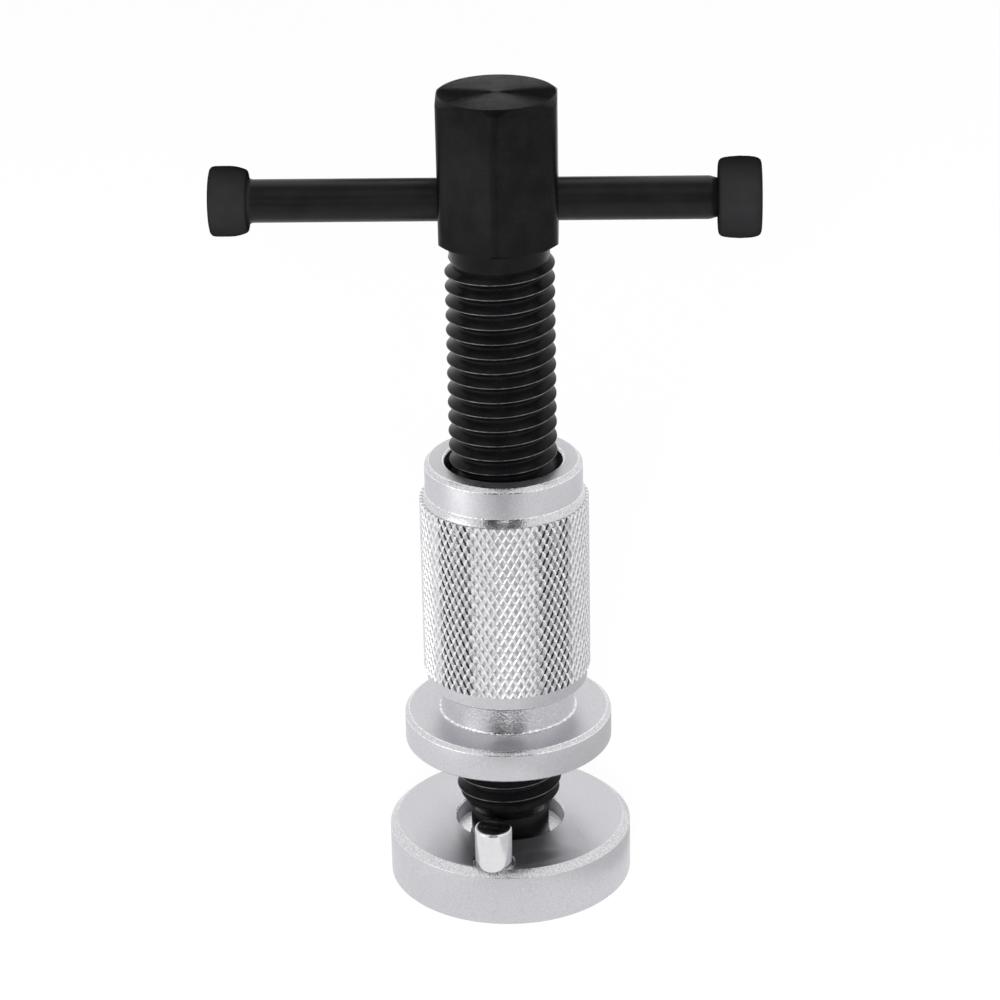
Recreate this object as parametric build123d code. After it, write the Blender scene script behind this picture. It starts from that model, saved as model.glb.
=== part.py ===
from build123d import *
import math
import os

# A brake caliper spreader standing on its drive plate, as it is stored.
# The origin is the centre of the plate's underside, Z is the screw's axis and
# X is the tommy bar's axis. All sizes are in millimetres.

# Drive plate, the disc that meets the brake piston
plate_radius = 20.5
plate_thickness = 10.0
plate_rim_bevel_width = 1.25
plate_rim_bevel_height = 1.05
plate_foot_bevel = 0.4
recess_depth = 3.0
recess_gap = 2.5
recess_mouth_bevel = 0.3

# Two drive pins pressed into the plate
pin_radius = 3.1
pin_height = 6.6
pin_edge_bevel = 0.4
pin_rim_distance = 3.9
pin_floor = 3.0
pin_mouth_bevel = 0.45
pin_line_turn = 8.0

# Square drive between the screw's nose and the plate
drive_flats = 9.5
drive_clearance = 0.08
drive_tip = 1.0
drive_tip_bevel = 0.4
drive_corner_step = 0.4

# Magnet in the tip of the square drive
magnet_radius = 3.0
magnet_length = 3.0
magnet_glue_gap = 0.05

# Force screw: nose, tapered thread end, thread and relief
nose_radius = 6.6
nose_length = 5.3
thread_radius = 8.85
thread_end_taper = 3.5
thread_length = 95.5
relief_step = 0.75
relief_length = 3.0

# Hexagonal head of the screw
head_flats = 19.0
head_height = 24.1
head_corner_radius = 2.2
head_bevel_angle = 36.0
head_top_step = 0.14
head_foot_step = 0.4
bar_depth_in_head = 17.6
cross_hole_mouth_bevel = 0.35

# Tommy bar: one end upset to a knob, the other with a knob pressed on
bar_radius = 3.45
bar_clearance = 0.08
bar_length = 87.2
bar_rest_offset = -2.1
upset_knob_radius = 5.6
upset_knob_length = 6.0
upset_knob_edge_bevel = 0.6
upset_knob_taper_step = 0.6
upset_knob_taper_length = 2.2
upset_knob_root_bevel = 0.7
spigot_step = 0.95
spigot_length = 5.0
bar_taper_step = 0.4
bar_taper_length = 1.2

# Pressed-on knob of the tommy bar
end_knob_radius = 6.5
end_knob_length = 6.8
end_knob_edge_bevel = 0.7
end_knob_inner_bevel_width = 0.7
end_knob_inner_bevel_length = 1.0

# Threaded sleeve, one turned piece, from its flange up to its mouth
sleeve_gap = 15.3
thread_clearance = 0.1
thread_mouth_bevel = 0.7
sleeve_wall = 3.35
counterbore_gap = 0.8
counterbore_depth = 28.7
sleeve_mouth_bevel = 0.3
flange_thickness = 5.6
flange_reach = 6.25
flange_bevel_width = 0.7
flange_bevel_height = 0.6
flange_foot_bevel = 0.35
neck_wall = 2.2
neck_length = 5.5
lower_ring_step = 0.55
lower_ring_length = 2.7
lower_ring_bevel = 0.4
grip_step = 0.95
grip_length = 30.5
grip_end_bevel = 0.35
shoulder_length = 1.3
top_ring_length = 5.3
top_edge_bevel = 0.7

# Heights and radii that follow from the sizes above
web_thickness = plate_thickness - 2 * recess_depth
nose_seat = plate_thickness - recess_depth
drive_length = web_thickness + drive_tip
taper_bottom = nose_seat + nose_length
thread_bottom = taper_bottom + thread_end_taper
relief_bottom = thread_bottom + thread_length
head_bottom = relief_bottom + relief_length
bar_height = head_bottom + head_height - bar_depth_in_head
pin_circle_radius = plate_radius - pin_rim_distance
recess_radius = nose_radius + recess_gap
bar_left_end = bar_rest_offset - bar_length / 2
sleeve_bottom = plate_thickness + sleeve_gap
thread_bore_radius = thread_radius + thread_clearance
counterbore_radius = thread_radius + counterbore_gap
top_ring_radius = counterbore_radius + sleeve_wall


def turned(*outline):
    # A body of revolution about Z from (radius, height) points in order round its half section.
    points = [(radius, 0, height) for radius, height in outline]
    return revolve(make_face(Polyline(*points, close=True)), Axis.Z)


def hole_from_top(radius, depth, mouth_bevel):
    # A hole going down from the plane Z = 0, with a bevelled mouth.
    bore = Pos(0, 0, -depth) * Cylinder(radius, depth, align=(Align.CENTER, Align.CENTER, Align.MIN))
    mouth = Cone(radius, radius + mouth_bevel, mouth_bevel, align=(Align.CENTER, Align.CENTER, Align.MAX))
    return bore + mouth


def square_prism(flats, length):
    # A square bar going down from the plane Z = 0.
    return Box(flats, flats, length, align=(Align.CENTER, Align.CENTER, Align.MAX))


def pin_places():
    # The pins stand on one diameter of the plate, turned a little from the Y axis.
    front_angle = math.radians(-90 - pin_line_turn)
    x = pin_circle_radius * math.cos(front_angle)
    y = pin_circle_radius * math.sin(front_angle)
    return {"front": (x, y), "rear": (-x, -y)}


def make_drive_plate():
    disc = turned(
        (0, 0),
        (plate_radius - plate_foot_bevel, 0),
        (plate_radius, plate_foot_bevel),
        (plate_radius, plate_thickness - plate_rim_bevel_height),
        (plate_radius - plate_rim_bevel_width, plate_thickness),
        (0, plate_thickness),
    )
    # The same recess on both faces lets the plate be turned over.
    recess = hole_from_top(recess_radius, recess_depth, recess_mouth_bevel)
    disc -= Pos(0, 0, plate_thickness) * recess
    disc -= Rot(180, 0, 0) * recess
    disc -= Pos(0, 0, plate_thickness) * square_prism(drive_flats + 2 * drive_clearance, plate_thickness)
    pin_hole = hole_from_top(pin_radius, plate_thickness - pin_floor, pin_mouth_bevel)
    for x, y in pin_places().values():
        disc -= Pos(x, y, plate_thickness) * pin_hole
    return disc


def make_drive_pin(place):
    x, y = pin_places()[place]
    length = plate_thickness - pin_floor + pin_height
    pin = Cylinder(pin_radius, length, align=(Align.CENTER, Align.CENTER, Align.MIN))
    pin = chamfer(pin.edges().sort_by(Axis.Z)[-1], pin_edge_bevel)
    return Pos(x, y, pin_floor) * pin


def make_screw_shank():
    # Everything below the head is turned about one axis. The thread itself is left to the looks.
    relief_radius = thread_radius - relief_step
    return turned(
        (0, nose_seat),
        (nose_radius, nose_seat),
        (nose_radius, taper_bottom),
        (thread_radius, thread_bottom),
        (thread_radius, relief_bottom - relief_step),
        (relief_radius, relief_bottom),
        (relief_radius, head_bottom),
        (0, head_bottom),
    )


def make_square_drive():
    # A turned stub with four milled flats, so its corners stay round.
    corner_radius = nose_radius - drive_corner_step
    stub = turned(
        (0, 0),
        (corner_radius, 0),
        (corner_radius, -drive_length + drive_tip_bevel),
        (corner_radius - drive_tip_bevel, -drive_length),
        (0, -drive_length),
    )
    stub &= square_prism(drive_flats, drive_length)
    pocket = hole_from_top(magnet_radius + magnet_glue_gap, magnet_length + magnet_glue_gap, magnet_glue_gap)
    stub -= Pos(0, 0, -drive_length) * Rot(180, 0, 0) * pocket
    return Pos(0, 0, nose_seat) * stub


def make_hex_head():
    # One corner points to the front and the bar comes out through two opposite flats.
    hexagon = RegularPolygon(head_flats / 2, 6, major_radius=False, rotation=30)
    hexagon = fillet(hexagon.vertices(), head_corner_radius)
    corner_radius = head_flats / 2 / math.cos(math.radians(30))
    top_radius = head_flats / 2 - head_top_step
    foot_radius = head_flats / 2 + head_foot_step
    slope = math.tan(math.radians(head_bevel_angle))
    bevels = turned(
        (0, 0),
        (foot_radius, 0),
        (corner_radius, (corner_radius - foot_radius) * slope),
        (corner_radius, head_height - (corner_radius - top_radius) * slope),
        (top_radius, head_height),
        (0, head_height),
    )
    head = extrude(hexagon, head_height) & bevels
    # The cross hole is drilled from two opposite flats, each with a bevelled mouth.
    half_hole = hole_from_top(bar_radius + bar_clearance, head_flats / 2, cross_hole_mouth_bevel)
    for side in (1, -1):
        mouth = Pos(side * head_flats / 2, 0, head_height - bar_depth_in_head)
        head -= mouth * Rot(0, side * 90, 0) * half_hole
    return Pos(0, 0, head_bottom) * head


def make_force_screw():
    return make_screw_shank() + make_square_drive() + make_hex_head()


def make_magnet():
    top = nose_seat - drive_length + magnet_length
    magnet = Cylinder(magnet_radius, magnet_length, align=(Align.CENTER, Align.CENTER, Align.MAX))
    return Pos(0, 0, top) * magnet


def lay_along_bar(solid):
    # Turns a piece made along Z so that it lies along X at the height of the bar.
    return Pos(bar_left_end, 0, bar_height) * Rot(0, 90, 0) * solid


def bar_shoulder():
    # Distance from the bar's left end to the face of the pressed-on knob.
    return bar_length - end_knob_length


def make_tommy_bar():
    # The left end is upset to a knob that tapers towards the rod.
    spigot_radius = bar_radius - spigot_step
    bar = turned(
        (0, 0),
        (upset_knob_radius - upset_knob_edge_bevel, 0),
        (upset_knob_radius, upset_knob_edge_bevel),
        (upset_knob_radius, upset_knob_length - upset_knob_taper_length),
        (upset_knob_radius - upset_knob_taper_step, upset_knob_length),
        (bar_radius + upset_knob_root_bevel, upset_knob_length),
        (bar_radius, upset_knob_length + upset_knob_root_bevel),
        (bar_radius, bar_shoulder() - bar_taper_length),
        (bar_radius - bar_taper_step, bar_shoulder()),
        (spigot_radius, bar_shoulder()),
        (spigot_radius, bar_shoulder() + spigot_length),
        (0, bar_shoulder() + spigot_length),
    )
    return lay_along_bar(bar)


def make_bar_end_knob():
    knob = turned(
        (0, 0),
        (end_knob_radius - end_knob_inner_bevel_width, 0),
        (end_knob_radius, end_knob_inner_bevel_length),
        (end_knob_radius, end_knob_length - end_knob_edge_bevel),
        (end_knob_radius - end_knob_edge_bevel, end_knob_length),
        (0, end_knob_length),
    )
    knob -= Cylinder(bar_radius - spigot_step, spigot_length, align=(Align.CENTER, Align.CENTER, Align.MIN))
    return lay_along_bar(Pos(0, 0, bar_shoulder()) * knob)


def make_sleeve_outside():
    # Heights run up from the underside of the flange.
    neck_radius = thread_bore_radius + neck_wall
    flange_radius = neck_radius + flange_reach
    grip_radius = top_ring_radius + grip_step
    ring_radius = grip_radius - lower_ring_step
    neck_top = flange_thickness + neck_length
    ring_top = neck_top + lower_ring_length
    grip_top = ring_top + grip_length
    shoulder_top = grip_top + shoulder_length
    sleeve_top = shoulder_top + top_ring_length
    body = turned(
        (0, 0),
        (flange_radius - flange_foot_bevel, 0),
        (flange_radius, flange_foot_bevel),
        (flange_radius, flange_thickness - flange_bevel_height),
        (flange_radius - flange_bevel_width, flange_thickness),
        (neck_radius, flange_thickness),
        (neck_radius, neck_top),
        (ring_radius - lower_ring_bevel, neck_top),
        (ring_radius, neck_top + lower_ring_bevel),
        (ring_radius, ring_top),
        (grip_radius - grip_end_bevel, ring_top),
        (grip_radius, ring_top + grip_end_bevel),
        (grip_radius, grip_top - grip_end_bevel),
        (grip_radius - grip_end_bevel, grip_top),
        (top_ring_radius, shoulder_top),
        (top_ring_radius, sleeve_top - top_edge_bevel),
        (top_ring_radius - top_edge_bevel, sleeve_top),
        (0, sleeve_top),
    )
    return body, sleeve_top


def make_sleeve():
    body, height = make_sleeve_outside()
    bore = hole_from_top(counterbore_radius, counterbore_depth, sleeve_mouth_bevel)
    thread_bore = hole_from_top(thread_bore_radius, height, thread_mouth_bevel)
    body -= Pos(0, 0, height) * bore
    body -= Rot(180, 0, 0) * thread_bore
    return Pos(0, 0, sleeve_bottom) * body


pieces = {
    "drive_plate": make_drive_plate(),
    "drive_pin_front": make_drive_pin("front"),
    "drive_pin_rear": make_drive_pin("rear"),
    "force_screw": make_force_screw(),
    "nose_magnet": make_magnet(),
    "tommy_bar": make_tommy_bar(),
    "bar_end_knob": make_bar_end_knob(),
    "threaded_sleeve": make_sleeve(),
}

os.makedirs("parts", exist_ok=True)

for name, piece in pieces.items():
    export_step(piece, f"parts/{name}.step")
    print(name, round(piece.volume, 1))
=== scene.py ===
import math

import bmesh
import bpy
from mathutils import Matrix, Vector


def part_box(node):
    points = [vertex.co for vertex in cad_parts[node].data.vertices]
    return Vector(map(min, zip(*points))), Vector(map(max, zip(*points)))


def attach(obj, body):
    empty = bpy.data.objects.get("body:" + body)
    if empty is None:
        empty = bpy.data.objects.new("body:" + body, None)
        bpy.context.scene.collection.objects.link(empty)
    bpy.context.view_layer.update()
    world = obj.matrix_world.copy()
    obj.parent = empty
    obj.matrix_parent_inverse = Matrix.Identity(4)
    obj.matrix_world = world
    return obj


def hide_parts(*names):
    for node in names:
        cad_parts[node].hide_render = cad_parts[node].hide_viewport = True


# Brake caliper spreader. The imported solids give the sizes, and this script adds the wound
# thread, the knurl, the rounded edges, the finishes, the light and the camera.
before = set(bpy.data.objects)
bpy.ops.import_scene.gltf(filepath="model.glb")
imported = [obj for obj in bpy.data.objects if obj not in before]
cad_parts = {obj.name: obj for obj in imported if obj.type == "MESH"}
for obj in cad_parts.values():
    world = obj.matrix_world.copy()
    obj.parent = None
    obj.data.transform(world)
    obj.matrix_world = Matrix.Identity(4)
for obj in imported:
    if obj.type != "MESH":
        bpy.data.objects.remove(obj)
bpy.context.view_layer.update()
mm = 0.001  # lengths in the dictionaries of the pieces are in millimetres
weld = 0.002 * mm  # corners nearer to each other than this become one
print("frame loaded")


def heightsOf(node):
    # The lowest and the highest point of a CAD node, in millimetres.
    low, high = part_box(node)
    return low.z / mm, high.z / mm


# Shared mesh helpers

def allOf(bm):
    return bm.verts[:] + bm.edges[:] + bm.faces[:]


def spinOnce(bm, geom, steps, rise=0, merge=False, copies=False):
    # One full turn round Z. A rise makes it a helix, and copies repeats the shape instead of sweeping it.
    bmesh.ops.spin(bm, geom=geom, cent=(0, 0, 0), axis=(0, 0, 1), dvec=(0, 0, rise / steps * mm),
                   angle=2 * math.pi, steps=steps, use_merge=merge, use_normal_flip=False,
                   use_duplicate=copies)


def spinOutline(bm, points, steps):
    # Turns (radius, height) points once round Z; a last point equal to the first closes the outline.
    closed = points[0] == points[-1]
    corners = [bm.verts.new((r * mm, 0, z * mm)) for r, z in (points[:-1] if closed else points)]
    edges = [bm.edges.new(pair) for pair in zip(corners, corners[1:])]
    if closed:
        edges.append(bm.edges.new((corners[-1], corners[0])))
    spinOnce(bm, corners + edges, steps, merge=True)
    bmesh.ops.remove_doubles(bm, verts=bm.verts[:], dist=weld)


def stackCopies(bm, height, count):
    # Repeats all that is there upwards until it stands there count times.
    first = allOf(bm)
    for level in range(1, count):
        copy = bmesh.ops.duplicate(bm, geom=first)
        verts = [item for item in copy["geom"] if isinstance(item, bmesh.types.BMVert)]
        bmesh.ops.translate(bm, verts=verts, vec=(0, 0, level * height * mm))


def spinThread(bm, points, pitch, start, turns, steps):
    # Winds a thread's outline once round Z, right-handed, stacks the turns and welds them.
    corners = [bm.verts.new((r * mm, 0, (start + z) * mm)) for r, z in points]
    edges = [bm.edges.new(pair) for pair in zip(corners, corners[1:])]
    spinOnce(bm, corners + edges, steps, rise=pitch)
    stackCopies(bm, pitch, turns)
    bmesh.ops.remove_doubles(bm, verts=bm.verts[:], dist=weld)


def cutAt(bm, height, keepAbove):
    # Cuts the mesh level at a height and leaves the cut open.
    bmesh.ops.bisect_plane(bm, geom=allOf(bm), dist=weld / 2, plane_co=(0, 0, height * mm),
                           plane_no=(0, 0, 1), clear_inner=keepAbove, clear_outer=not keepAbove)
    bmesh.ops.remove_doubles(bm, verts=bm.verts[:], dist=weld)


def openEdges(bm):
    return [edge for edge in bm.edges if edge.is_boundary]


def radiusOf(place):
    return math.hypot(place.x, place.y)


def setRadius(vert, radius):
    # Moves a corner straight out or in.
    now = radiusOf(vert.co)
    vert.co.x *= radius * mm / now
    vert.co.y *= radius * mm / now


def closeBehind(bm, radius):
    # Sinks both open rims into the wall behind and joins them there, so that the piece is a closed ring.
    grown = bmesh.ops.extrude_edge_only(bm, edges=openEdges(bm))
    for item in grown["geom"]:
        if isinstance(item, bmesh.types.BMVert):
            setRadius(item, radius)
    bmesh.ops.bridge_loops(bm, edges=openEdges(bm))


def bevelSharp(bm, angle, width):
    # Rounds every sharp edge a little and returns the new narrow faces.
    edges = [edge for edge in bm.edges if len(edge.link_faces) == 2
             and edge.calc_face_angle(0) > math.radians(angle)]
    rounded = bmesh.ops.bevel(bm, geom=edges, offset=width * mm, offset_type="OFFSET", segments=2,
                              profile=0.5, affect="EDGES", clamp_overlap=True, material=-1, loop_slide=True)
    return set(rounded["faces"])


def smoothUpTo(bm, angle):
    for face in bm.faces:
        face.smooth = True
    for edge in bm.edges:
        edge.smooth = len(edge.link_faces) == 2 and edge.calc_face_angle(0) < math.radians(angle)


# What a face is, by the upright part of its normal: 0 on a wall, 1 on a level face
levelFrom = 0.9
bevelBetween = (0.12, 0.97)


def facesUp(face):
    return face.normal.z > levelFrom


def isBevel(face):
    low, high = bevelBetween
    return low < abs(face.normal.z) < high


def meshObject(bm, name, materials):
    mesh = bpy.data.meshes.new(name)
    bm.to_mesh(mesh)
    bm.free()
    made = bpy.data.objects.new(name, mesh)
    bpy.context.scene.collection.objects.link(made)
    for material in materials:
        mesh.materials.append(material)
    return made


def makePiece(bm, name, finishes, body, replaces=()):
    bmesh.ops.recalc_face_normals(bm, faces=bm.faces[:])
    piece = meshObject(bm, name, [finish[title] for title in finishes])
    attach(piece, body)
    if replaces:
        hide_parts(*replaces)
    print(name, "made,", len(piece.data.polygons), "faces")


flatWithin = 0.5  # degrees between triangles that make one flat face


def copyOfNode(name):
    # A CAD node's mesh is loose triangles, so its corners are merged and its flat faces joined.
    bm = bmesh.new()
    bm.from_mesh(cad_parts[name].data)
    bmesh.ops.remove_doubles(bm, verts=bm.verts[:], dist=weld / 2)
    bmesh.ops.dissolve_limit(bm, angle_limit=math.radians(flatWithin), verts=bm.verts[:],
                             edges=bm.edges[:], use_dissolve_boundaries=False)
    return bm


# Finishes: two colours and two roughnesses that change places in patches, and a fine grain

def emptyMaterial(name):
    material = bpy.data.materials.new(name)
    material.use_nodes = True
    nodes, links = material.node_tree.nodes, material.node_tree.links
    nodes.clear()
    return material, nodes, links, nodes.new("ShaderNodeOutputMaterial")


def startFinish(name):
    material, nodes, links, out = emptyMaterial(name)
    shader = nodes.new("ShaderNodeBsdfPrincipled")
    links.new(shader.outputs[0], out.inputs[0])
    place = nodes.new("ShaderNodeTexCoord")
    return material, nodes, links, shader, place.outputs["Object"]


def addNoise(nodes, links, place, scale, detail):
    noise = nodes.new("ShaderNodeTexNoise")
    noise.inputs["Scale"].default_value = scale
    noise.inputs["Detail"].default_value = detail
    links.new(place, noise.inputs["Vector"])
    return noise.outputs["Fac"]


noiseRange = (0.3, 0.7)  # nearly all of a noise's values lie between these


def noiseBetween(nodes, links, place, scale, low, high, detail=3.0):
    # Noise turned into a colour or a value between two ends.
    ramp = nodes.new("ShaderNodeMapRange")
    ramp.inputs["From Min"].default_value, ramp.inputs["From Max"].default_value = noiseRange
    links.new(addNoise(nodes, links, place, scale, detail), ramp.inputs["Value"])
    if isinstance(low, tuple):
        mix = nodes.new("ShaderNodeMix")
        mix.data_type = "RGBA"
        links.new(ramp.outputs["Result"], mix.inputs["Factor"])
        # Sockets 6 and 7, and 2 on the way out, are a Mix node's colours.
        mix.inputs[6].default_value = (*low, 1)
        mix.inputs[7].default_value = (*high, 1)
        return mix.outputs[2]
    ramp.inputs["To Min"].default_value = low
    ramp.inputs["To Max"].default_value = high
    return ramp.outputs["Result"]


def addBump(nodes, links, height, depth, strength):
    bump = nodes.new("ShaderNodeBump")
    bump.inputs["Strength"].default_value = strength
    bump.inputs["Distance"].default_value = depth
    links.new(height, bump.inputs["Height"])
    return bump


def addGrain(nodes, links, place, shader, look):
    grain = addNoise(nodes, links, place, look["grain"], 2.0)
    bump = addBump(nodes, links, grain, look["bumpDepth"], look["bumpStrength"])
    links.new(bump.outputs["Normal"], shader.inputs["Normal"])
    return bump


def addTurningRings(nodes, links, place, grainBump, look):
    # Fine rings left by the lathe tool round the Z axis, under the grain.
    split = nodes.new("ShaderNodeSeparateXYZ")
    links.new(place, split.inputs["Vector"])
    squares = []
    for axis in ("X", "Y"):
        square = nodes.new("ShaderNodeMath")
        square.operation = "MULTIPLY"
        links.new(split.outputs[axis], square.inputs[0])
        links.new(split.outputs[axis], square.inputs[1])
        squares.append(square.outputs[0])
    perMetre = 2 * math.pi / look["ringPitch"]
    steps = (("ADD", squares[1]), ("SQRT", None), ("MULTIPLY", perMetre), ("SINE", None))
    value = squares[0]
    for operation, second in steps:
        step = nodes.new("ShaderNodeMath")
        step.operation = operation
        links.new(value, step.inputs[0])
        if isinstance(second, float):
            step.inputs[1].default_value = second
        elif second is not None:
            links.new(second, step.inputs[1])
        value = step.outputs[0]
    rings = addBump(nodes, links, value, look["ringDepth"], 1.0)
    links.new(rings.outputs["Normal"], grainBump.inputs["Normal"])


# Patches and grain are scales of a noise: the higher, the finer
blackOxide = {
    "dark": (0.0014, 0.0014, 0.0016),
    "light": (0.0028, 0.0028, 0.0031),
    "roughness": (0.20, 0.28),
    "specular": 0.075,
    "colourPatches": 300,
    "shinePatches": 500,
    "grain": 2500,
    "bumpDepth": 0.00001,
    "bumpStrength": 0.15,
}
blackLooks = {
    "blackOxideSteel": blackOxide,
    "barBlackSteel": {**blackOxide, "specular": 0.19, "roughness": (0.31, 0.37)},
    "turnedBlackSteel": {**blackOxide, "specular": 0.10, "roughness": (0.16, 0.22),
                         "ringPitch": 0.00033, "ringDepth": 0.000012},
    "mattBlackSteel": {**blackOxide, "dark": (0.0078, 0.0078, 0.0082), "light": (0.0094, 0.0094, 0.0099),
                       "specular": 0.0, "roughness": (0.45, 0.55), "grain": 3500},
}


def makeBlackOxide(name, look):
    material, nodes, links, shader, place = startFinish(name)
    colour = noiseBetween(nodes, links, place, look["colourPatches"], look["dark"], look["light"])
    links.new(colour, shader.inputs["Base Color"])
    shine = noiseBetween(nodes, links, place, look["shinePatches"], *look["roughness"])
    links.new(shine, shader.inputs["Roughness"])
    shader.inputs["Specular IOR Level"].default_value = look["specular"]
    bump = addGrain(nodes, links, place, shader, look)
    if "ringPitch" in look:
        addTurningRings(nodes, links, place, bump, look)
    return material


chromeShinePatches = 700
chromeLooks = {
    "satinPlating": {
        "dark": (0.54, 0.535, 0.565), "light": (0.65, 0.645, 0.675), "roughness": (0.36, 0.42),
        "grain": 4200, "bumpDepth": 0.00003, "bumpStrength": 0.35,
    },
    "flangePlating": {
        "dark": (0.56, 0.557, 0.585), "light": (0.69, 0.687, 0.715), "roughness": (0.20, 0.27),
        "grain": 3600, "bumpDepth": 0.00003, "bumpStrength": 0.5,
    },
    "neckPlating": {
        "dark": (0.74, 0.745, 0.77), "light": (0.93, 0.935, 0.95), "roughness": (0.10, 0.16),
        "grain": 3000, "bumpDepth": 0.00006, "bumpStrength": 0.9,
    },
    # Painted highlights: brighter, smoother plating for the bevels and the narrow rounded edges of the upper
    # parts, partly a smoother finish and partly the light that they catch.
    "bevelSheenPlating": {
        "dark": (0.56, 0.56, 0.58), "light": (0.74, 0.74, 0.76), "roughness": (0.20, 0.30),
        "grain": 2700, "bumpDepth": 0.00005, "bumpStrength": 0.65,
    },
    "edgeGlintPlating": {
        "dark": (0.62, 0.62, 0.65), "light": (0.97, 0.97, 0.98), "roughness": (0.06, 0.16),
        "grain": 1900, "bumpDepth": 0.00009, "bumpStrength": 0.9,
    },
    # Painted light and shade on the knurl: bright plating on the diamonds' flanks and a darker, rougher
    # plating on their flat tops, for the tones that the light gives them.
    "knurlFlankHighlight": {
        "dark": (0.68, 0.68, 0.70), "light": (0.93, 0.93, 0.94), "roughness": (0.10, 0.22),
        "grain": 1500, "bumpDepth": 0.00002, "bumpStrength": 0.4,
    },
    "diamondTopShade": {
        "dark": (0.39, 0.39, 0.41), "light": (0.57, 0.57, 0.59), "roughness": (0.28, 0.38),
        "grain": 2600, "bumpDepth": 0.00004, "bumpStrength": 0.5,
    },
    "pinPlating": {
        "dark": (0.70, 0.70, 0.72), "light": (0.74, 0.74, 0.76), "roughness": (0.13, 0.16),
        "grain": 900, "bumpDepth": 0.000004, "bumpStrength": 0.1,
    },
    "nickelCoat": {
        "dark": (0.62, 0.60, 0.56), "light": (0.72, 0.70, 0.66), "roughness": (0.10, 0.22),
        "grain": 1500, "bumpDepth": 0.00002, "bumpStrength": 0.4,
    },
    # Painted highlight: a lighter, shinier band on the screw thread's crests, for the light that they catch.
    "crestHighlightSheen": {
        "dark": (0.09, 0.095, 0.095), "light": (0.19, 0.20, 0.20), "roughness": (0.25, 0.35),
        "grain": 900, "bumpDepth": 0.00001, "bumpStrength": 0.1,
    },
}


def makeChrome(name, look):
    # The grain shows in the colour and in the surface alike.
    material, nodes, links, shader, place = startFinish(name)
    colour = noiseBetween(nodes, links, place, look["grain"], look["dark"], look["light"], detail=1.0)
    links.new(colour, shader.inputs["Base Color"])
    shine = noiseBetween(nodes, links, place, chromeShinePatches, *look["roughness"])
    links.new(shine, shader.inputs["Roughness"])
    shader.inputs["Metallic"].default_value = 1.0
    addGrain(nodes, links, place, shader, look)
    return material


finish = {name: makeBlackOxide(name, look) for name, look in blackLooks.items()}
finish.update({name: makeChrome(name, look) for name, look in chromeLooks.items()})
print("finishes made")


# Force screw: head, relief and nose come from the solid, the thread is wound in its place

screwThread = {
    "pitch": 2.5,
    "crestAtRight": 0.1,  # height of a crest above the origin where it crosses the X axis
    "firstTurn": 3,  # the lowest turn lies this many pitches above that crest
    "spare": 3.0,  # wound past the top and then cut off
    "crestRadius": 8.85,
    "crestRound": [(0, 0), (0.08, 0.01), (0.16, 0.07)],  # distance from the crest's middle, drop
    "rootRadius": 7.28,
    "rootRound": [(0, 0.10), (0.10, 0.03)],  # distance past the end of the flank, rise above the root
    "flankAngle": 30,
    "bottom": 12.3,
    "noseRadius": 6.6,
    "taperTop": 15.8,
    "fadeStart": 16.2,  # going down, the grooves run out over fadeLength from here
    "fadeLength": 1.2,
    "top": 111.3,
    "reliefRadius": 8.1,
    "runout": 2.2,  # going up, the grooves run out into the relief over this length
    "steps": 72,
    "crestHighlightDepth": 0.03,  # the crest faces out to this depth get the painted highlight band
    "crestHighlightUpTo": 110.5,
    "edge": 0.10,
    "sharpFrom": 25,  # degrees from which an edge gets a narrow round
    "smoothTo": 35,  # degrees up to which the shading runs on over an edge
    "headTop": heightsOf("force_screw")[1],
}
slack = 0.01  # a face this close to a height or a radius still counts as there


def threadOutline(look):
    # One pitch from root to root: straight flanks between a rounded crest and a rounded root.
    half = [(z, look["crestRadius"] - drop) for z, drop in look["crestRound"]]
    flankStart, flankTop = half[-1]
    flankFoot = look["rootRadius"] + look["rootRound"][0][1]
    flankEnd = flankStart + (flankTop - flankFoot) * math.tan(math.radians(look["flankAngle"]))
    half += [(flankEnd + z, look["rootRadius"] + rise) for z, rise in look["rootRound"]]
    half.append((look["pitch"] / 2, look["rootRadius"]))
    return [(r, -z) for z, r in reversed(half)] + [(r, z) for z, r in half[1:]]


def share(value):
    return min(1, max(0, value))


def makeThread(look):
    bm = bmesh.new()
    start = look["crestAtRight"] + look["firstTurn"] * look["pitch"]
    turns = math.ceil((look["top"] + look["spare"] - start) / look["pitch"])
    spinThread(bm, threadOutline(look), look["pitch"], start, turns, look["steps"])
    slope = (look["crestRadius"] - look["noseRadius"]) / (look["taperTop"] - look["bottom"])
    for vert in bm.verts:
        z = vert.co.z / mm
        # The thread fades out into the relief at the top and into the taper at the bottom.
        ceiling = min(look["reliefRadius"] + max(0, look["top"] - z),
                      look["noseRadius"] + max(0, z - look["bottom"]) * slope)
        fadeTop = share((z - look["top"] + look["runout"]) / look["runout"])
        fadeFoot = share((look["fadeStart"] - z) / look["fadeLength"])
        floor = look["rootRadius"] + (look["reliefRadius"] - look["rootRadius"]) * fadeTop
        floor += (ceiling - floor) * fadeFoot
        setRadius(vert, min(max(radiusOf(vert.co) / mm, floor), ceiling))
    cutAt(bm, look["bottom"], True)
    cutAt(bm, look["top"], False)
    bmesh.ops.dissolve_degenerate(bm, dist=weld, edges=bm.edges[:])
    bmesh.ops.holes_fill(bm, edges=openEdges(bm), sides=0)
    return bm


def makeScrewEnds(look):
    # The screw's solid without the plain shank that stands in for the thread.
    bm = copyOfNode("force_screw")
    shank = [face for face in bm.faces
             if all(look["bottom"] - slack < vert.co.z / mm < look["top"] + slack for vert in face.verts)]
    bmesh.ops.delete(bm, geom=shank, context="FACES")
    bmesh.ops.holes_fill(bm, edges=openEdges(bm), sides=0)
    bevelSharp(bm, look["sharpFrom"], look["edge"])
    return bm


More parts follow.
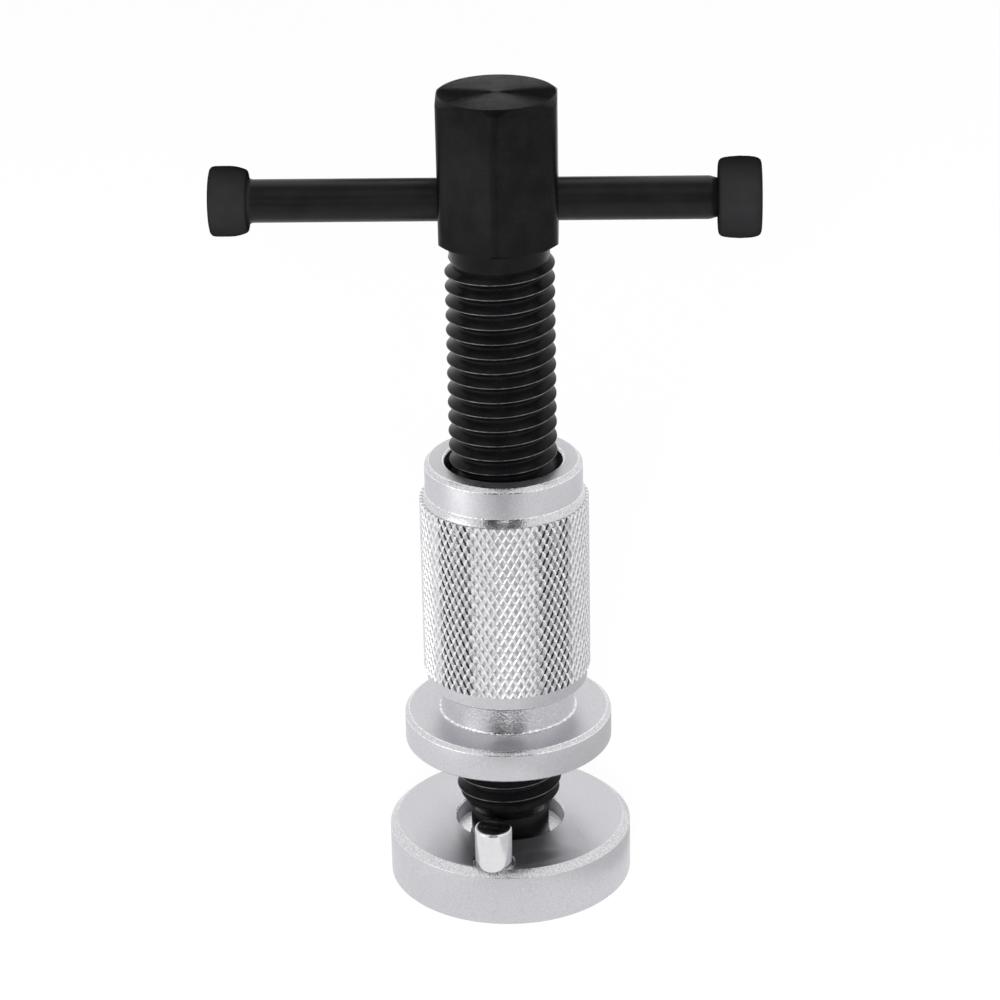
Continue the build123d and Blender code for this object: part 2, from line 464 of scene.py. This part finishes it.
def makeForceScrew(look):
    bm = makeThread(look)
    ends = makeScrewEnds(look)
    endMesh = bpy.data.meshes.new("screwEnds")
    ends.to_mesh(endMesh)
    ends.free()
    bm.from_mesh(endMesh)
    smoothUpTo(bm, look["smoothTo"])
    for face in bm.faces:
        centre = face.calc_center_median() / mm
        # The thread's crests get the painted highlight band, the head's top the turned finish, the nose the
        # bar's finish.
        onThread = look["taperTop"] < centre.z < look["crestHighlightUpTo"]
        if onThread and radiusOf(centre) > look["crestRadius"] - look["crestHighlightDepth"]:
            face.material_index = 1
        elif centre.z > look["headTop"] - 2 * slack:
            face.material_index = 2
        elif centre.z < look["bottom"]:
            face.material_index = 3
    finishes = ["blackOxideSteel", "crestHighlightSheen", "turnedBlackSteel", "barBlackSteel"]
    makePiece(bm, "forceScrew", finishes, "screw", ["force_screw"])


makeForceScrew(screwThread)


# Tommy bar and its knobs, turned along Z and then laid along X

tommyBar = {
    "left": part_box("tommy_bar")[0].x / mm,
    "height": 120.8,
    "rodRadius": 3.45,
    "upsetRadius": 5.6,
    # Along the upset knob from its end: how far its side lies inside its radius, distance
    "upsetSide": [(0.85, 0), (0.42, 0.10), (0.14, 0.35), (0.02, 0.80), (0, 1.6), (0, 3.1), (0.05, 3.9),
                  (0.20, 4.7), (0.42, 5.4), (0.62, 5.85), (0.80, 6.0)],
    # The hollow where the knob meets the rod: height above the rod, distance from the knob
    "rootHollow": [(0.80, 0), (0.40, 0.12), (0.12, 0.42), (0, 0.85)],
    "mattPast": 0.6,  # the knob's matt finish ends this far along the rod
    "shoulder": 80.4,
    # The rod's end at the pressed-on knob: depth below the rod, distance from the knob
    "shoulderTaper": [(0, 1.5), (0.08, 1.0), (0.40, 0)],
    "spigotRadius": 2.5,
    "spigotLength": 5.0,
    "steps": 96,
    "smoothTo": 50,
}
endKnob = {
    "radius": 6.5,
    # Along the knob from the rod: how far its side lies inside its radius, distance
    "side": [(1.10, 0), (0.72, 0.10), (0.42, 0.38), (0.24, 0.85), (0.10, 1.8), (0, 3.4), (0.06, 4.9),
             (0.16, 5.7), (0.34, 6.3), (0.62, 6.66), (1.0, 6.8)],
}


def layAlongBar(bm, look):
    turn = Matrix.Rotation(math.pi / 2, 4, "Y")
    move = Matrix.Translation((look["left"] * mm, 0, look["height"] * mm))
    bmesh.ops.transform(bm, matrix=move @ turn, verts=bm.verts[:])


def makeTommyBar(look):
    bm = bmesh.new()
    rod, spigot = look["rodRadius"], look["spigotRadius"]
    knobEnd, shoulder = look["upsetSide"][-1][1], look["shoulder"]
    spigotEnd = shoulder + look["spigotLength"]
    outline = [(0, 0)]
    outline += [(look["upsetRadius"] - inset, z) for inset, z in look["upsetSide"]]
    outline += [(rod + rise, knobEnd + z) for rise, z in look["rootHollow"]]
    outline += [(rod - depth, shoulder - z) for depth, z in look["shoulderTaper"]]
    outline += [(spigot, shoulder), (spigot, spigotEnd), (0, spigotEnd)]
    spinOutline(bm, outline, look["steps"])
    for face in bm.faces:
        if face.calc_center_median().z < (knobEnd + look["mattPast"]) * mm:
            face.material_index = 1
    layAlongBar(bm, look)
    smoothUpTo(bm, look["smoothTo"])
    makePiece(bm, "tommyBar", ["barBlackSteel", "mattBlackSteel"], "bar", ["tommy_bar"])


def makeEndKnob(look, bar):
    bm = bmesh.new()
    start = bar["shoulder"]
    outline = [(0, start)]
    outline += [(look["radius"] - inset, start + z) for inset, z in look["side"]]
    outline += [(0, start + look["side"][-1][1])]
    spinOutline(bm, outline, bar["steps"])
    layAlongBar(bm, bar)
    smoothUpTo(bm, bar["smoothTo"])
    makePiece(bm, "barEndKnob", ["mattBlackSteel"], "bar", ["bar_end_knob"])


makeTommyBar(tommyBar)
makeEndKnob(endKnob, tommyBar)


# Threaded sleeve: turned body, internal thread and knurled grip

sleeveBottom, sleeveTop = heightsOf("threaded_sleeve")
sleeveBody = {
    "bottom": sleeveBottom,
    "boreRadius": 9.0,
    "threadMouth": (0.65, 0.7),  # width and height of the bevel at the bore's foot
    "flangeRadius": 17.4,
    "flangeFoot": 0.35,
    "flangeRim": (0.7, 0.6),
    "flangeTop": 30.9,
    "levelWithin": 0.1,  # faces up to this far from the flange's top belong to it
    "neckRadius": 11.15,
    # The hollow at the neck's foot: distance from the neck, height above the flange
    "neckHollow": [(0.45, 0), (0.20, 0.07), (0.05, 0.25), (0, 0.5)],
    "neckTop": 36.4,
    "ringRadius": 13.4,
    "ringFoot": 0.4,
    "gripBottom": 39.1,
    "gripTop": 69.6,
    "shoulderRadius": 13.6,
    "shoulderTop": 70.9,
    "topRingRadius": 13.0,
    "topRim": 0.7,
    "mouthBevel": 0.3,
    "top": sleeveTop,
    "counterboreRadius": 9.65,
    "ledge": 47.5,
    "edge": 0.14,
    "sharpFrom": 20,
    "smoothTo": 40,
    "highlightAbove": 29.0,  # above this height the edges and bevels get brighter, smoother plating, a painted highlight; below it all is satin
    "steps": 144,
}


def sleeveOutline(look):
    # Up the outside from the bore's foot, and down the inside again.
    bottom, top = look["bottom"], look["top"]
    bore, boreMouth = look["boreRadius"], look["threadMouth"]
    outline = [(bore, bottom + boreMouth[1]), (bore + boreMouth[0], bottom)]
    flange, flangeTop = look["flangeRadius"], look["flangeTop"]
    foot, rim = look["flangeFoot"], look["flangeRim"]
    outline += [(flange - foot, bottom), (flange, bottom + foot)]
    outline += [(flange, flangeTop - rim[1]), (flange - rim[0], flangeTop)]
    neck, neckTop = look["neckRadius"], look["neckTop"]
    outline += [(neck + reach, flangeTop + rise) for reach, rise in look["neckHollow"]]
    ring, ringFoot, gripTop = look["ringRadius"], look["ringFoot"], look["gripTop"]
    outline += [(neck, neckTop), (ring - ringFoot, neckTop), (ring, neckTop + ringFoot)]
    outline += [(ring, look["gripBottom"]), (ring, gripTop), (look["shoulderRadius"], gripTop)]
    topRing, topRim = look["topRingRadius"], look["topRim"]
    outline += [(topRing, look["shoulderTop"]), (topRing, top - topRim), (topRing - topRim, top)]
    counterbore, mouth, ledge = look["counterboreRadius"], look["mouthBevel"], look["ledge"]
    outline += [(counterbore + mouth, top), (counterbore, top - mouth), (counterbore, ledge), (bore, ledge)]
    return outline + outline[:1]


def makeSleeveBody(look):
    bm = bmesh.new()
    spinOutline(bm, sleeveOutline(look), look["steps"])
    edges = bevelSharp(bm, look["sharpFrom"], look["edge"])
    smoothUpTo(bm, look["smoothTo"])
    bm.normal_update()
    flangeTop, hollow = look["flangeTop"], look["neckHollow"]
    neckFoot = flangeTop + hollow[-1][1]
    neckReach = look["neckRadius"] + 2 * hollow[0][0]  # past the hollow, well inside the rings
    # The hollow at the neck's foot and the upper edges get the bright edge plating, and the upper bevels the
    # bevel plating: painted highlights.
    for face in bm.faces:
        centre = face.calc_center_median() / mm
        onNeck = radiusOf(centre) < neckReach
        if onNeck and flangeTop + slack < centre.z < neckFoot:
            face.material_index = 1
        elif onNeck and neckFoot < centre.z < look["neckTop"]:
            face.material_index = 3
        elif facesUp(face) and abs(centre.z - flangeTop) < look["levelWithin"]:
            face.material_index = 4
        elif face in edges and centre.z > look["highlightAbove"]:
            face.material_index = 1
        elif isBevel(face) and centre.z > look["highlightAbove"]:
            face.material_index = 2
    finishes = ["satinPlating", "edgeGlintPlating", "bevelSheenPlating", "neckPlating", "flangePlating"]
    makePiece(bm, "sleeveBody", finishes, "sleeve", ["threaded_sleeve"])


sleeveThread = {
    "gap": 0.35,  # between its ridges and the root of the screw's thread
    "ridgeHalf": 0.24,
    "footHalf": 1.13,
    "sunk": 0.15,  # its foot lies this deep in the bore's wall
    "back": 0.3,  # and its back this much deeper
    "firstTurn": 8.5,  # pitches above the screw's crest, and half a pitch off its other crests
    "spare": 3.0,
    "mouthReach": 0.65,  # the ridges fade out at 45 degrees towards both ends
    "ledgeReach": 0.3,
    "bottomGap": 0.3,
    "ledgeGap": 0.1,
    "smoothTo": 35,
}


def makeSleeveThread(look, sleeve, screw):
    # The ridges stand in the screw's grooves with a small gap, and their backs are sunk in the wall.
    bm = bmesh.new()
    ridge, wall = screw["rootRadius"] + look["gap"], sleeve["boreRadius"] + look["sunk"]
    half = [(wall, screw["pitch"] / 2), (wall, look["footHalf"]), (ridge, look["ridgeHalf"])]
    outline = [(r, -z) for r, z in half] + [(r, z) for r, z in reversed(half)]
    start = screw["crestAtRight"] + look["firstTurn"] * screw["pitch"]
    turns = math.ceil((sleeve["ledge"] + look["spare"] - start) / screw["pitch"])
    spinThread(bm, outline, screw["pitch"], start, turns, screw["steps"])
    for vert in bm.verts:
        z = vert.co.z / mm
        radius = radiusOf(vert.co) / mm
        fromMouth = sleeve["boreRadius"] + look["mouthReach"] - max(0, z - sleeve["bottom"])
        fromLedge = sleeve["boreRadius"] + look["ledgeReach"] - max(0, sleeve["ledge"] - z)
        if radius < wall:
            setRadius(vert, min(wall, max(radius, fromMouth, fromLedge)))
    cutAt(bm, sleeve["bottom"] + look["bottomGap"], True)
    cutAt(bm, sleeve["ledge"] - look["ledgeGap"], False)
    closeBehind(bm, wall + look["back"])
    smoothUpTo(bm, look["smoothTo"])
    makePiece(bm, "sleeveThread", ["satinPlating"], "sleeve")


knurl = {
    "bottom": sleeveBody["gripBottom"],
    "top": sleeveBody["gripTop"],
    "crestRadius": 13.95,
    "depth": 0.20,
    "backRadius": 13.3,  # inside the sleeve's wall
    "around": 66,
    "height": 2.46,
    "flank": 0.23,  # width of a diamond's sloping side
    "craterEdge": 0.24,  # a small hollow is left in the middle of each flat top
    "craterDepth": 0.09,
}


def makeDiamonds(bm, look):
    # Two diamonds side by side, half a step apart, are the pattern's unit.
    base = (look["crestRadius"] - look["depth"]) * mm
    halfWidth = math.pi / look["around"]
    start = look["bottom"] - look["height"] / 2
    diamonds = []
    for turn, lift in ((0, 0), (halfWidth, look["height"] / 2)):
        corners = []
        for angle, rise in ((-halfWidth, 0), (0, -0.5), (halfWidth, 0), (0, 0.5)):
            z = (start + lift + rise * look["height"]) * mm
            corners.append(bm.verts.new((base * math.cos(turn + angle), base * math.sin(turn + angle), z)))
        diamonds.append(bm.faces.new(corners))
    bm.normal_update()
    return diamonds


def makeKnurl(look):
    bm = bmesh.new()
    diamonds = makeDiamonds(bm, look)
    bmesh.ops.inset_individual(bm, faces=diamonds, thickness=look["flank"] * mm, depth=look["depth"] * mm,
                               use_even_offset=True)
    # The flat tops get the darker plating, a painted shade.
    for face in diamonds:
        face.material_index = 1
    bmesh.ops.inset_individual(bm, faces=diamonds, thickness=look["craterEdge"] * mm,
                               depth=-look["craterDepth"] * mm, use_even_offset=True)
    rows = math.ceil((look["top"] - look["bottom"]) / look["height"])
    stackCopies(bm, look["height"], rows + 2)  # both ends are then cut off level
    spinOnce(bm, allOf(bm), look["around"], copies=True)
    bmesh.ops.remove_doubles(bm, verts=bm.verts[:], dist=2 * weld)
    cutAt(bm, look["bottom"], True)
    cutAt(bm, look["top"], False)
    closeBehind(bm, look["backRadius"])
    for edge in bm.edges:
        edge.smooth = False
    makePiece(bm, "gripKnurl", ["knurlFlankHighlight", "diamondTopShade"], "sleeve")


makeSleeveBody(sleeveBody)
makeSleeveThread(sleeveThread, sleeveBody, screwThread)
makeKnurl(knurl)


# Drive plate, pins and magnet

drivePlate = {
    "edge": 0.12,
    "sharpFrom": 25,
    "smoothTo": 35,
    "highlightAbove": 8.0,  # above this height the edges and bevels get brighter, smoother plating, a painted highlight; below it all but the recess is satin
    "recessFloor": (6.0, 9.0),  # of all faces that look up, only the recess's floor lies in between
}
drivePins = {
    "radius": 3.1,
    "rim": [(0, 0.5), (0.04, 0.28), (0.13, 0.13), (0.28, 0.04), (0.5, 0)],  # inside the radius, below the top
    "steps": 96,
    "smoothTo": 40,
}


def makeDrivePlate(look):
    bm = copyOfNode("drive_plate")
    edges = bevelSharp(bm, look["sharpFrom"], look["edge"])
    smoothUpTo(bm, look["smoothTo"])
    bm.normal_update()
    low, high = look["recessFloor"]
    for face in bm.faces:
        z = face.calc_center_median().z / mm
        # The upper edges and bevels get the brighter plating as painted highlights.
        if z > look["highlightAbove"] and face in edges:
            face.material_index = 1
        elif z > look["highlightAbove"] and isBevel(face):
            face.material_index = 2
        elif low < z < high and facesUp(face):
            face.material_index = 3
    finishes = ["satinPlating", "edgeGlintPlating", "bevelSheenPlating", "neckPlating"]
    makePiece(bm, "drivePlate", finishes, "plate", ["drive_plate"])


def makeDrivePin(look, name, node):
    low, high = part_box(node)
    centre = (low + high) / 2
    bottom, top = heightsOf(node)
    bm = bmesh.new()
    outline = [(0, bottom), (look["radius"], bottom)]
    outline += [(look["radius"] - inset, top - drop) for inset, drop in look["rim"]]
    outline += [(0, top)]
    spinOutline(bm, outline, look["steps"])
    bmesh.ops.translate(bm, verts=bm.verts[:], vec=(centre.x, centre.y, 0))
    smoothUpTo(bm, look["smoothTo"])
    makePiece(bm, name, ["pinPlating"], "plate", [node])


makeDrivePlate(drivePlate)
makeDrivePin(drivePins, "drivePinFront", "drive_pin_front")
makeDrivePin(drivePins, "drivePinRear", "drive_pin_rear")

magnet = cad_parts["nose_magnet"]
magnet.data.materials.clear()
magnet.data.materials.append(finish["nickelCoat"])
print("magnet finished")


# Light, floor and camera, in metres

studio = {
    "surround": 1.0,
    "fill": 0.05,  # the light of the white surround itself, kept low so that the softboxes shape the metal
    "floorHalf": 6,
    "floorColour": (0.90, 0.90, 0.90),
    "floorGlow": 0.92,  # share of the floor's white that doesn't depend on the light
}

# Cards are seen in the metal only: place, what they face, width and height, brightness
cards = {
    "darkCard": ((0, -0.75, 0.38), (0, 0, 0.38), (0.74, 0.76), 0.02),  # the dark room behind the camera
    "darkHood": ((0, -0.77, 1.7), (0, 0, 1.7), (0.14, 1.9), 0.04),  # the same, higher up
    "darkCeiling": ((0, -0.15, 2.2), (0, -0.15, 0), (0.9, 1.2), 0.05),
    "darkMat": ((0, -0.45, 0.001), (0, -0.45, 1), (0.12, 0.62), 0.62),  # the floor that upright fronts mirror
    "backPanel": ((0, 1.0, 1.5), (0, 0, 0.1), (1.4, 0.9), 1.5),  # lights the bar from above
    "rightMat": ((0.10, 0.03, 0.001), (0.10, 0.03, 1), (0.15, 0.22), 0.74),  # shades right-hand sides
    "frontGlow": ((0.025, -0.70, 0.33), (0, 0, 0.05), (0.08, 0.22), 3.0),  # lights the sleeve's shoulder
    "headCard": ((0, 0.06, 0.160), (0, 0, 0.138), (0.05, 0.035), 0.03),  # keeps the head's top dark
    "leftPanel": ((-0.21, -0.12, 0.04), (0, 0, 0.12), (0.14, 0.10), 2.1),  # lights the head's left flat
}

# Softboxes light the object and aren't seen in it: place, aim, width and height, watts
softboxes = {
    "frontLight": ((0, -1.1, 0.40), (0, 0, 0.1), (0.5, 0.3), 40.0),
    "sideLight": ((-0.9, -0.2, 1.3), (0, 0, 0.07), (0.9, 0.9), 10.0),
    "backLight": ((0.6, 0.9, 1.3), (0, 0, 0.07), (0.9, 0.9), 10.0),
}


def facing(place, aim, axis):
    # The turn that points an axis of a thing at its place towards its aim.
    return (Vector(aim) - Vector(place)).to_track_quat(axis, "Y")


def anyRay(nodes, links, kinds):
    # Gives 1 for rays of the named kinds and 0 for all others.
    rays = nodes.new("ShaderNodeLightPath")
    level = rays.outputs[kinds[0]]
    for kind in kinds[1:]:
        either = nodes.new("ShaderNodeMath")
        either.operation = "MAXIMUM"
        links.new(level, either.inputs[0])
        links.new(rays.outputs[kind], either.inputs[1])
        level = either.outputs[0]
    return level


def makeWorld(look):
    world = bpy.data.worlds.new("studio")
    bpy.context.scene.world = world
    world.use_nodes = True
    nodes, links = world.node_tree.nodes, world.node_tree.links
    nodes.clear()
    out = nodes.new("ShaderNodeOutputWorld")
    background = nodes.new("ShaderNodeBackground")
    background.inputs["Color"].default_value = (1, 1, 1, 1)
    level = nodes.new("ShaderNodeMapRange")
    level.inputs["To Min"].default_value = look["fill"]
    level.inputs["To Max"].default_value = look["surround"]
    seen = anyRay(nodes, links, ("Is Camera Ray", "Is Glossy Ray", "Is Transmission Ray"))
    links.new(seen, level.inputs["Value"])
    links.new(level.outputs["Result"], background.inputs["Strength"])
    links.new(background.outputs[0], out.inputs[0])


def makeFloor(look):
    bm = bmesh.new()
    bmesh.ops.create_grid(bm, x_segments=1, y_segments=1, size=look["floorHalf"])
    material, nodes, links, out = emptyMaterial("paleFloor")
    matt = nodes.new("ShaderNodeBsdfDiffuse")
    matt.inputs["Color"].default_value = (*look["floorColour"], 1)
    glow = nodes.new("ShaderNodeEmission")
    glowShare = nodes.new("ShaderNodeMath")
    glowShare.operation = "MULTIPLY"
    glowShare.inputs[1].default_value = look["floorGlow"]
    links.new(anyRay(nodes, links, ("Is Camera Ray", "Is Glossy Ray")), glowShare.inputs[0])
    mix = nodes.new("ShaderNodeMixShader")
    links.new(glowShare.outputs[0], mix.inputs[0])
    links.new(matt.outputs[0], mix.inputs[1])
    links.new(glow.outputs[0], mix.inputs[2])
    links.new(mix.outputs[0], out.inputs[0])
    meshObject(bm, "floor", [material])


def makeCard(name, place, aim, size, brightness):
    # It takes no light away and isn't seen by the camera.
    bm = bmesh.new()
    bmesh.ops.create_grid(bm, x_segments=1, y_segments=1, size=0.5)
    bmesh.ops.scale(bm, vec=(*size, 1), verts=bm.verts[:])
    turn = facing(place, aim, "Z").to_matrix().to_4x4()
    bmesh.ops.transform(bm, matrix=Matrix.Translation(place) @ turn, verts=bm.verts[:])
    material, nodes, links, out = emptyMaterial(name)
    glow = nodes.new("ShaderNodeEmission")
    glow.inputs["Color"].default_value = (1, 1, 1, 1)
    glow.inputs["Strength"].default_value = brightness
    links.new(glow.outputs[0], out.inputs[0])
    card = meshObject(bm, name, [material])
    card.visible_camera = False
    card.visible_diffuse = False
    card.visible_shadow = False


def makeSoftbox(name, place, aim, size, power):
    lamp = bpy.data.lights.new(name, "AREA")
    lamp.shape = "RECTANGLE"
    lamp.size, lamp.size_y = size
    lamp.energy = power
    box = bpy.data.objects.new(name, lamp)
    box.location = place
    box.rotation_euler = facing(place, aim, "-Z").to_euler()
    bpy.context.scene.collection.objects.link(box)
    box.visible_glossy = False


# The camera was fitted to the photo's edges: distances in millimetres, angles in degrees
camera = {
    "azimuth": 2.0,
    "distance": 510.7,
    "height": 296.4,
    "aside": -0.68,
    "down": 24.031,
    "roll": -1.146,
    "lens": 122.49,
    "filmWidth": 36,
    "clip": (0.01, 50),  # metres
}


def makeCamera(look):
    lens = bpy.data.cameras.new("camera")
    lens.sensor_width = look["filmWidth"]
    lens.lens = look["lens"]
    lens.clip_start, lens.clip_end = look["clip"]
    eye = bpy.data.objects.new("camera", lens)
    bpy.context.scene.collection.objects.link(eye)
    eye.matrix_world = (Matrix.Rotation(math.radians(look["azimuth"]), 4, "Z")
                        @ Matrix.Translation(Vector((look["aside"], -look["distance"], look["height"])) * mm)
                        @ Matrix.Rotation(math.radians(90 - look["down"]), 4, "X")
                        @ Matrix.Rotation(math.radians(look["roll"]), 4, "Z"))
    bpy.context.scene.camera = eye


makeWorld(studio)
makeFloor(studio)
for name, values in cards.items():
    makeCard(name, *values)
for name, values in softboxes.items():
    makeSoftbox(name, *values)
makeCamera(camera)
bpy.context.scene.view_settings.view_transform = "Standard"
print("stage, light and camera set")
